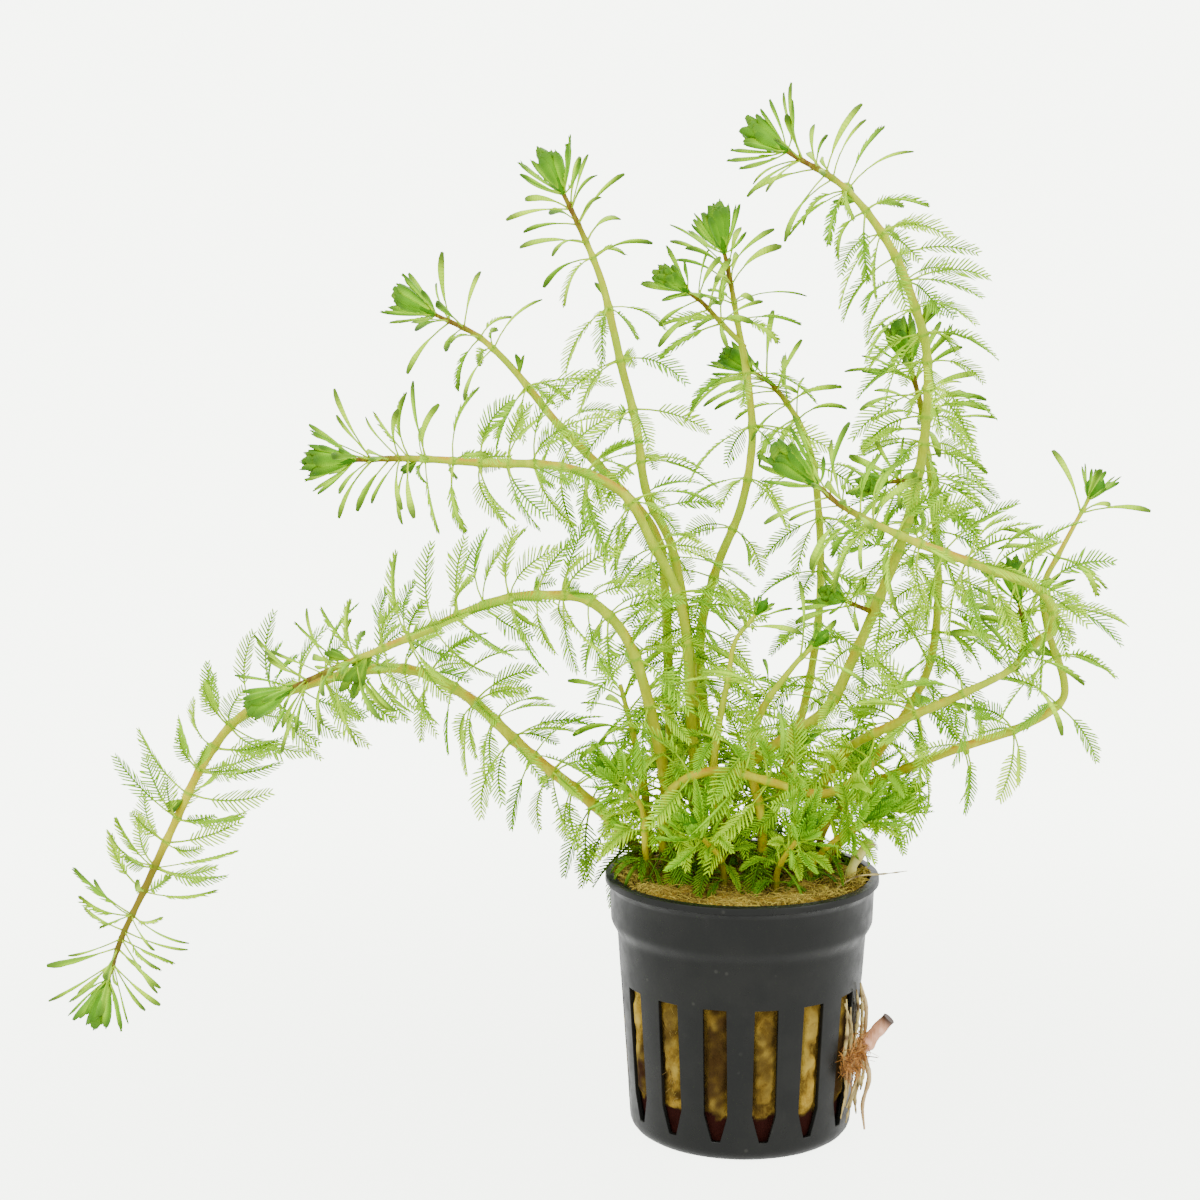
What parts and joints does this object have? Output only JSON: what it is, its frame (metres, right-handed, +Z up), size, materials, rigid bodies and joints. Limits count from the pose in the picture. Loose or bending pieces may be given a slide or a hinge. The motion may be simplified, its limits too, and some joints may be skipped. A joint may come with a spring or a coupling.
{
  "type": "potted parrots feather plant",
  "caption": "Parrots feather water plant with arching stems, whorls of feathery leaves and leafy crowns, rooted in rock wool in a small slotted net pot.",
  "frame": {"origin": "middle of the pot's flat underside", "axes": "+Z up, +X to the side with the tall right stem, -Y the front, which the picture shows"},
  "size_m": [0.2066, 0.0724, 0.2028],
  "materials": {
    "pot_plastic": "satin charcoal black plastic",
    "rock_wool": "damp ochre rock wool",
    "stem": "smooth olive to orange green stem",
    "leaf": "soft bright green feathery leaves",
    "cut_root": "pink to tan cut root",
    "root_strand": "dry pale root",
    "cut_stub": "dry straw coloured stub"
  },
  "bodies": {
    "root": {"back_crown": "leaf", "back_stem": "stem", "bare_left_stem": "stem", "bud_crown": "leaf", "bud_stem": "stem", "centre_crown": "leaf", "centre_side_shoot": "stem", "centre_side_shoot_crown": "leaf", "centre_stem": "stem", "far_right_crown": "leaf", "far_right_stem": "stem", "left_arch_crown": "leaf", "left_arch_stem": "stem", "left_level_crown": "leaf", "left_level_stem": "stem", "looped_crown": "leaf", "looped_stem": "stem", "low_shoot_back": "stem", "low_shoot_back_left": "stem", "low_shoot_back_right": "stem", "low_shoot_front": "stem", "low_shoot_front_left": "stem", "low_shoot_front_right": "stem", "low_shoot_right": "stem", "lower_side_shoot": "stem", "lower_side_shoot_crown": "leaf", "pot": "pot_plastic", "right_front_branch": "stem", "right_front_branch_crown": "leaf", "right_front_crown": "leaf", "right_front_stem": "stem", "rim_left_shoot": "stem", "rim_stub": "cut_stub", "rock_wool": "rock_wool", "root_strand_lower": "root_strand", "root_strand_upper": "root_strand", "short_pale_crown": "leaf", "short_pale_stem": "stem", "side_root": "cut_root", "tall_left_crown": "leaf", "tall_left_stem": "stem", "tall_right_crown": "leaf", "tall_right_stem": "stem", "trailing_crown": "leaf", "trailing_stem": "stem", "upper_left_crown": "leaf", "upper_left_stem": "stem", "upper_side_shoot": "stem", "upper_side_shoot_crown": "leaf"}
  },
  "joints": []
}
